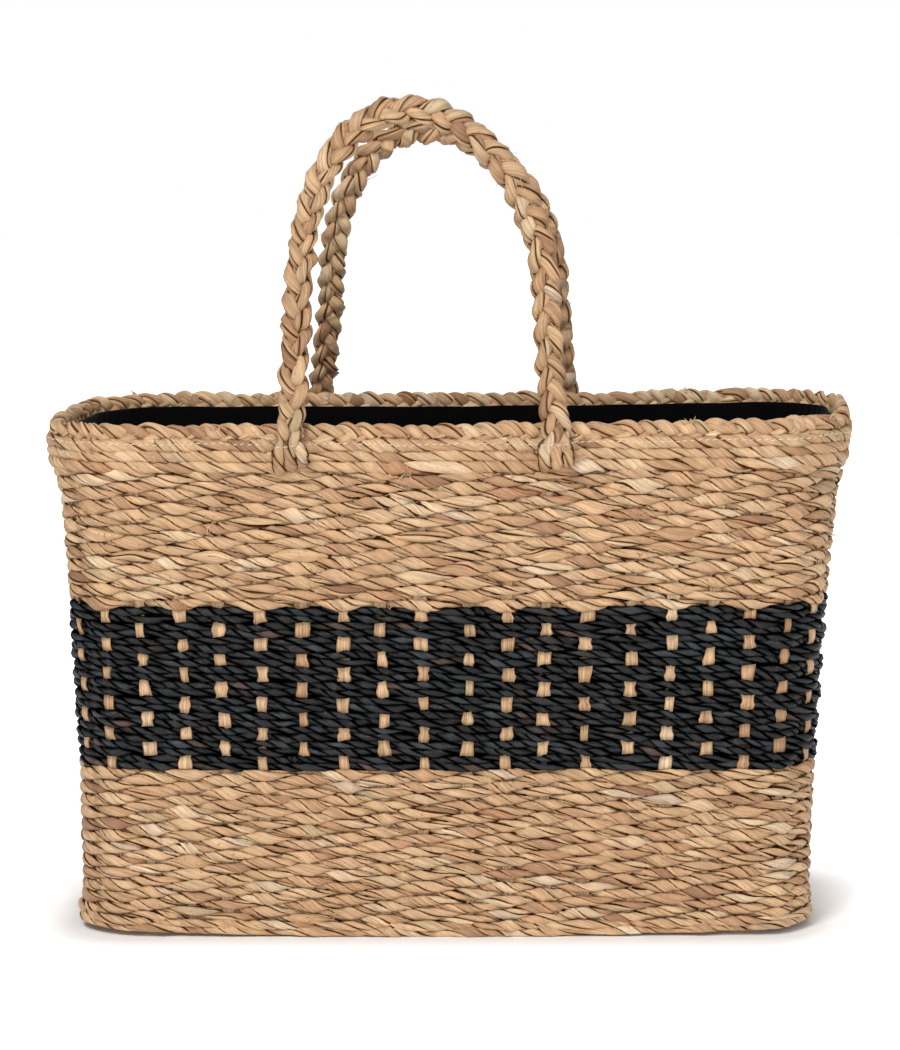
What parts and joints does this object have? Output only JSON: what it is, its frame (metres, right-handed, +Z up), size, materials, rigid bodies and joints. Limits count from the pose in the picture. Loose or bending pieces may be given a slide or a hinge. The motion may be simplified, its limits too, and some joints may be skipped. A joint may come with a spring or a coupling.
{
  "type": "woven market basket",
  "caption": "Rectangular woven seagrass market basket with a black middle band, a black cloth lining and a plaited arch handle on each long side.",
  "frame": {"origin": "middle of the underside, on the plane the basket stands on", "axes": "+X along the basket's long side, -Y towards the front handle, +Z up"},
  "size_m": [0.4844, 0.1987, 0.4949],
  "materials": {
    "natural_seagrass": "dry straw-coloured twisted cord, semi-matte",
    "stake_seagrass": "flat dry blades, semi-matte",
    "plaited_seagrass": "plaited dry blades, semi-matte",
    "black_seagrass": "black-dyed twisted cord, semi-matte",
    "lining_cloth": "black plain-woven cotton, matte",
    "sewing_thread": "cream sewing thread, matte"
  },
  "bodies": {
    "basket": {"base_weave": "natural_seagrass", "base_border_rope": "natural_seagrass", "lower_weave": "natural_seagrass", "upper_weave": "natural_seagrass", "rim_ropes": "natural_seagrass", "rim_braid": "natural_seagrass", "black_weave": "black_seagrass", "cross_stake_01": "stake_seagrass", "cross_stake_02": "stake_seagrass", "cross_stake_03": "stake_seagrass", "cross_stake_04": "stake_seagrass", "cross_stake_05": "stake_seagrass", "cross_stake_06": "stake_seagrass", "cross_stake_07": "stake_seagrass", "cross_stake_08": "stake_seagrass", "cross_stake_09": "stake_seagrass", "cross_stake_10": "stake_seagrass", "cross_stake_11": "stake_seagrass", "cross_stake_12": "stake_seagrass", "cross_stake_13": "stake_seagrass", "cross_stake_14": "stake_seagrass", "cross_stake_15": "stake_seagrass", "cross_stake_16": "stake_seagrass", "cross_stake_17": "stake_seagrass", "cross_stake_18": "stake_seagrass", "long_stake_01": "stake_seagrass", "long_stake_02": "stake_seagrass", "long_stake_03": "stake_seagrass", "long_stake_04": "stake_seagrass", "long_stake_05": "stake_seagrass", "long_stake_06": "stake_seagrass", "lining_sides": "lining_cloth", "lining_bottom": "lining_cloth", "lining_hem": "lining_cloth", "front_left_foot": "plaited_seagrass", "front_right_foot": "plaited_seagrass", "back_left_foot": "plaited_seagrass", "back_right_foot": "plaited_seagrass", "rim_seam_thread": "sewing_thread"},
    "front_handle": {"front_handle_strand_a": "plaited_seagrass", "front_handle_strand_b": "plaited_seagrass", "front_handle_strand_c": "plaited_seagrass"},
    "back_handle": {"back_handle_strand_a": "plaited_seagrass", "back_handle_strand_b": "plaited_seagrass", "back_handle_strand_c": "plaited_seagrass"}
  },
  "joints": [
    {"name": "front_handle_swing", "type": "hinge", "parent": "basket", "child": "front_handle", "pos_m": [-0.01421, -0.09864, 0.3095], "axis": [1, 0, 0], "range_deg": [-18, 158]},
    {"name": "back_handle_swing", "type": "hinge", "parent": "basket", "child": "back_handle", "pos_m": [-0.00111, 0.09863, 0.3095], "axis": [-1, 0, 0], "range_deg": [-4, 172]}
  ]
}
